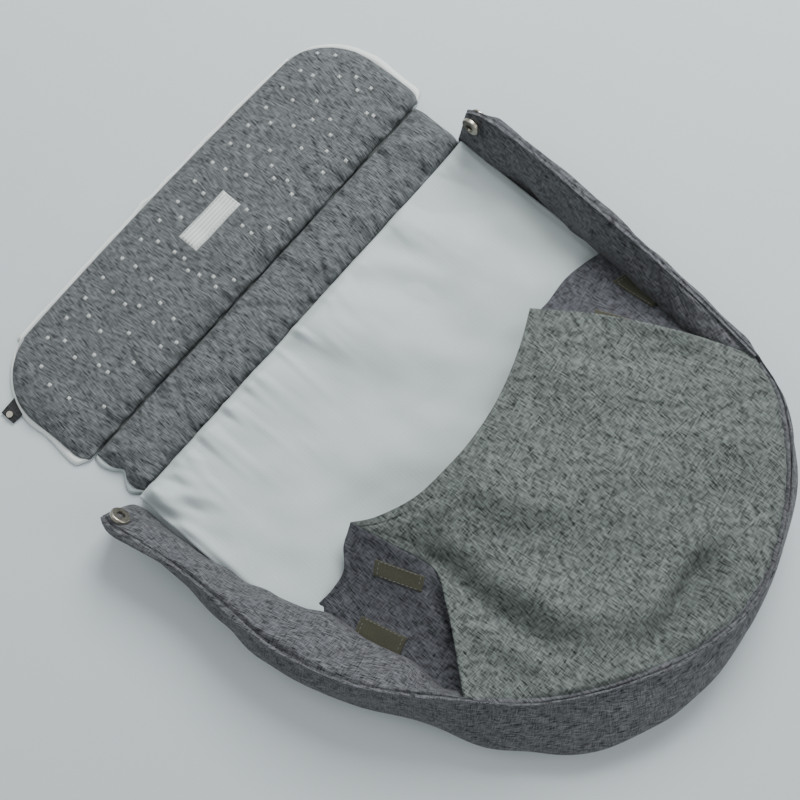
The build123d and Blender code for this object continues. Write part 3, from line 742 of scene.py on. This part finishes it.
rows, columns = 70, 330
v = np.linspace(0, 1, rows)[:, None]
u = np.linspace(0, 1, columns)[None, :]
y = 123.2 + (QUILT_Y - 123.4) * v + 0 * u
left, right = strip_ends(y)
x = left + (right - left) * u
y = (y + lumps(x, 0 * x, 16, 45, 2) * smooth(0.5, 1, v)
     + 0.5 * lumps(x, 0 * x, 8, 46, 1) * (1 - smooth(0, 0.5, v)))
side = np.minimum(x - left, right - x)
near = np.minimum(np.minimum((y - 123.2).clip(0), (QUILT_Y - 0.2 - y).clip(0)), side)
puckers = (6.5 * lumps(x, y * 0.2, 8, 41) * np.exp(-(y - 123.2) / 12)
           + 6.5 * lumps(x, y * 0.2, 9, 42) * np.exp(-(QUILT_Y - y) / 11)
           + 2.4 * lumps(x * 0.8 + y * 0.5, y * 0.4, 19, 43)
           - 2.2 * crease(x, y, (-120, 126), (-96, 168), 2.5) - 2.0 * crease(x, y, (30, 126), (52, 160), 2.5)
           - 2.0 * crease(x, y, (-30, 168), (2, 132), 3.0) - 2.0 * crease(x, y, (110, 128), (140, 166), 3.0))
top = 2.4 + pad_height(near, 11.0, 20) + (puckers + 1.3 * lumps(x, y, 55, 44)) * smooth(0, 3.5, near)
strip = closed_pad("collar_strip_pad", x, y, top, 1.6 + 0 * x, collar_cloth)
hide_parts("strip_cover", "strip_wadding")
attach(strip, "collar_strip")

rows, columns = 40, 120
v = np.linspace(0, 1, rows)[:, None]
u = np.linspace(0, 1, columns)[None, :]
y = 123.4 + (QUILT_Y - 123.8) * v + 0 * u
left, right = strip_ends(y)
left = left - 1.5 - 3.0 * np.exp(-((y - 163) / 8) ** 2) - 3.5 * np.exp(-((y - 133) / 7) ** 2)
x = left + (right + 0.6 - left) * u
near = np.minimum(x - left, right + 0.6 - x)
top = 1.3 + 3.2 * np.sin(np.pi * np.clip(near / 7, 0, 1)) * (x < 0) + 0.3 * np.sin(np.pi * v)
strip_back = closed_pad("white_strip_back", x, y, top, 0.5 + 0 * x, lining_cloth)
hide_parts("strip_back_lining")
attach(strip_back, "collar_strip")


# ---- Collar flap ----
# Wide quilted pad that folds over the baby's chest, in the same cloth. A white back turned out at
# its edge makes the piping; small squares are embroidered all over the grey side.
def flap_half(y):
    """Half the flap's width: nearly straight sides with big outer corners, small ones at the seam."""
    outer = np.clip((y - 222) / 50, 0, 1)
    inner = np.clip((QUILT_Y + 14 - y) / 14, 0, 1)
    return 192.5 - 48 * (1 - np.sqrt(1 - outer ** 2 * 0.985)) - 9 * (1 - np.sqrt(1 - inner ** 2 * 0.99))


def flap_grid(rows, columns, grow, back_edge):
    v = np.linspace(0, 1, rows)[:, None]
    v = 1 - (1 - v) ** 1.35
    u = np.linspace(0, 1, columns)[None, :]
    y = QUILT_Y + 0.7 + (back_edge - QUILT_Y) * v + 0 * u
    half = flap_half(np.minimum(y, 272)) + grow
    x = 3.5 - 2.5 * smooth(185, 250, y) + half * (2 * u - 1)
    y = y + 3.0 * np.sin(np.pi * u) ** 0.7 * v
    return x, y, u + 0 * v, v + 0 * u


x, y, u, v = flap_grid(140, 330, 0, 273.0)
half = flap_half(np.minimum(y, 272))
middle = 3.5 - 2.5 * smooth(185, 250, y)
y = y + (1.2 * lumps(x, 0 * x, 18, 55, 2)) * (1 - smooth(0, 0.3, v))
near = np.minimum(np.minimum((y - QUILT_Y - 0.4).clip(0), (1 - v) * 60), half - np.abs(x - middle)).clip(0)
puckers = (6.5 * lumps(x, y * 0.2, 9, 51) * np.exp(-(y - QUILT_Y) / 12)
           + 1.8 * lumps(x, y, 12, 52) * np.exp(-near / 9) + 2.2 * lumps(x, y, 26, 53)
           + 2.2 * lumps(x * 0.7 - y * 0.4, y * 0.5, 15, 56) * np.exp(-(y - QUILT_Y) / 30)
           - 1.8 * crease(x, y, (-118, 172), (-104, 204), 3) - 1.6 * crease(x, y, (76, 172), (90, 210), 3))
top = 2.6 + pad_height(near, 9.6, 22) + (puckers + 1.3 * lumps(x, y, 60, 54)) * smooth(0, 3.5, near)
flap = closed_pad("collar_flap_pad", x, y, top, 1.7 + 0 * x, collar_cloth)
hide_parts("flap_cover", "flap_wadding")
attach(flap, "collar_flap")

piping_cloth, shader = new_material("white_cotton_bias_binding")
chart = node(piping_cloth, "ShaderNodeUVMap").outputs["UV"]
yarns = node(piping_cloth, "ShaderNodeTexNoise", inputs={
    "Vector": chart, "Scale": 1 / (1.4 * MM), "Detail": 2.0}).outputs["Fac"]
tone = node(piping_cloth, "ShaderNodeMix", {"data_type": "RGBA"}, {
    "Factor": yarns, "A": linear("#d2d8d7"), "B": linear("#e6eae8")}).outputs["Result"]
piping_cloth.node_tree.links.new(tone, shader.inputs["Base Color"])
bump = node(piping_cloth, "ShaderNodeBump", inputs={"Height": yarns, "Strength": 0.15, "Distance": 0.0003})
piping_cloth.node_tree.links.new(bump.outputs["Normal"], shader.inputs["Normal"])
shader.inputs["Roughness"].default_value = 0.7

x, y, u, v = flap_grid(110, 260, 0, 274.2)
round_it = np.arctan2(y - 215, x)
grow = (3.2 + 1.8 * lumps(round_it * 200, 0 * x, 34, 57, 2) + 3.0 * smooth(150, 190, x)
        + 2.0 * np.exp(-((x + 185) / 14) ** 2) * (1 - smooth(175, 200, y)))
x = x + (2 * u - 1) * grow * smooth(0.0, 0.06, v)
y = y + grow * 0.8 * smooth(0.8, 1, v)
near = np.minimum(np.minimum(u, 1 - u) * 380, (1 - v) ** 0.75 * 75)
top = 1.2 + 2.7 * np.sin(np.pi * np.clip(near / 8.5, 0, 1))
flap_back = closed_pad("white_flap_back", x, y, top, 0.5 + 0 * x, piping_cloth)
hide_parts("flap_back_lining", "flap_piping")
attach(flap_back, "collar_flap")


# ---- Embroidered squares ----
# Little satin-stitched squares in white thread, 3 mm across. Their rows follow the flap and thin out
# toward the quilting seam; none is sewn under the badge.
satin, shader = new_material("white_rayon_thread")
place = node(satin, "ShaderNodeTexCoord").outputs["Object"]
turned = node(satin, "ShaderNodeMapping", inputs={"Vector": place, "Rotation": (0, 0, 0.78)}).outputs[0]
threads = node(satin, "ShaderNodeTexWave", {}, {"Vector": turned, "Scale": 0.1 / (0.5 * MM)}).outputs["Fac"]
bump = node(satin, "ShaderNodeBump", inputs={"Height": threads, "Strength": 0.5, "Distance": 0.0003})
satin.node_tree.links.new(bump.outputs["Normal"], shader.inputs["Normal"])
tone = node(satin, "ShaderNodeMix", {"data_type": "RGBA"},
            {"Factor": threads, "A": linear("#9ea3a2"), "B": linear("#cfd3d0")}).outputs["Result"]
satin.node_tree.links.new(tone, shader.inputs["Base Color"])
shader.inputs["Roughness"].default_value = 0.4
on_flap = ground_of(flap)
SQUARE = 2.7
SQUARE_ROWS = [(257, -137, 20.4), (245, -156, 25.6), (230, -162, 27.2), (221, -124, 49.5), (212, -160, 32.5),
               (204, -127, 50), (195, -109, 44), (188, -148, 61), (181, -77, 64)]
BADGE_X, BADGE_Y = 10.0, 226.5
squares = []
for row_y, first_x, pitch in SQUARE_ROWS:
    for k in range(20):
        cx = first_x + pitch * k + 1.5 * noise.noise(Vector((k, row_y, 5)))
        cy = row_y + 3.0 * noise.noise(Vector((k * 0.9, row_y, 8)))
        beside_badge = abs(cx - BADGE_X) > 32 or abs(cy - BADGE_Y) > 15
        if cx < 179 and beside_badge:
            squares.append((cx, cy))
v = np.linspace(-0.5, 0.5, 5)[:, None]
u = np.linspace(-0.5, 0.5, 5)[None, :]
pillow = 0.55 * (1 - (2 * u) ** 4) * (1 - (2 * v) ** 4)
deselect()
patches = []
for cx, cy in squares:
    sx, sy = cx + SQUARE * (u + 0 * v), cy + SQUARE * (v + 0 * u)
    patches.append(lay_cloth("square", np.stack([sx, sy, on_flap(sx, sy) + pillow + 0.08], axis=2)))
for each in patches:
    each.select_set(True)
bpy.context.view_layer.objects.active = patches[0]
bpy.ops.object.join()
embroidery = bpy.context.active_object
embroidery.name = embroidery.data.name = "satin_squares"
embroidery.data.materials.clear()
embroidery.data.materials.append(satin)
thicken(embroidery, 0.5)
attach(embroidery, "collar_flap")
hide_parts("embroidered_squares")


# ---- Badge ----
# A plain woven label, blank, sewn to the flap round its edge.
label, shader = new_material("woven_satin_label")
chart = node(label, "ShaderNodeUVMap").outputs["UV"]
ribs = node(label, "ShaderNodeTexWave", {"bands_direction": "Y"},
            {"Vector": chart, "Scale": 0.1 / (0.9 * MM), "Distortion": 0.3}).outputs["Fac"]
tone = node(label, "ShaderNodeMix", {"data_type": "RGBA"},
            {"Factor": ribs, "A": linear("#b4bab8"), "B": linear("#d6dbd9")}).outputs["Result"]
label.node_tree.links.new(tone, shader.inputs["Base Color"])
bump = node(label, "ShaderNodeBump", inputs={"Height": ribs, "Strength": 0.3, "Distance": 0.0003})
label.node_tree.links.new(bump.outputs["Normal"], shader.inputs["Normal"])
shader.inputs["Roughness"].default_value = 0.5
v = np.linspace(-0.5, 0.5, 22)[:, None]
u = np.linspace(-0.5, 0.5, 50)[None, :]
bx, by = BADGE_X + 50 * (u + 0 * v), BADGE_Y + 18 * (v + 0 * u)
rim = smooth(0, 0.05, np.minimum(0.5 - np.abs(u), (0.5 - np.abs(v)) * 0.5))
badge = lay_cloth("blank_badge", np.stack([bx, by, on_flap(bx, by) + 0.35 + 0.5 * rim], axis=2))
thicken(badge, 0.7)
badge.data.materials.append(label)
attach(badge, "collar_flap")
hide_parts("flap_badge")
box = [(BADGE_X + 23.5 * a, BADGE_Y + 7.5 * b) for a, b in ((-1, -1), (1, -1), (1, 1), (-1, 1), (-1, -1))]
badge_stitches = stitch_run("badge_stitches", box, on_flap, 0.95)
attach(badge_stitches, "collar_flap")


# ---- Tab ----
# Short folded tab of dark webbing caught in the flap's left edge, with a small stud on its end.
webbing = melange("dark_nylon_webbing", "#3a3b3d", "#0e0f11", "#151618")
v = np.linspace(-0.5, 0.5, 16)[:, None]
u = np.linspace(0, 1, 24)[None, :]
tx, ty = -201 + 21 * (u + 0 * v), 240.5 + 13.5 * v * (1 - 0.10 * (1 - u) ** 2) + 0 * u
tz = 2.3 + 0.25 * lumps(tx, ty, 6, 81)
tab = lay_cloth("side_tab", np.stack([tx, ty, tz], axis=2))
thicken(tab, 1.2)
tab.data.materials.append(webbing)
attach(tab, "collar_flap")
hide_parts("flap_tab")


# ---- Press studs ----
# Nickel-plated brass caps, washers and sockets pressed through the wall tips, and the small stud on
# the tab. Plating is bright with a fine satin from tumbling. The springs are plain steel wire, and
# they are given the same nickel material.
nickel, shader = new_material("nickel_plated_brass")
place = node(nickel, "ShaderNodeTexCoord").outputs["Object"]
rub = node(nickel, "ShaderNodeTexNoise", inputs={
    "Vector": place, "Scale": 1 / (2.0 * MM), "Detail": 4.0}).outputs["Fac"]
tone = node(nickel, "ShaderNodeMix", {"data_type": "RGBA"},
            {"Factor": rub, "A": linear("#8a8579"), "B": linear("#c2beb2")}).outputs["Result"]
nickel.node_tree.links.new(tone, shader.inputs["Base Color"])
dull = node(nickel, "ShaderNodeMapRange", inputs={
    "Value": rub, "To Min": 0.22, "To Max": 0.42}).outputs["Result"]
nickel.node_tree.links.new(dull, shader.inputs["Roughness"])
shader.inputs["Metallic"].default_value = 1.0
for name in ("left_stud_cap", "left_stud_washer", "left_stud_socket", "left_stud_spring", "right_stud_cap",
             "right_stud_washer", "right_stud_socket", "right_stud_spring", "flap_tab_stud"):
    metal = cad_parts[name]
    for slot in metal.material_slots:
        slot.material = nickel
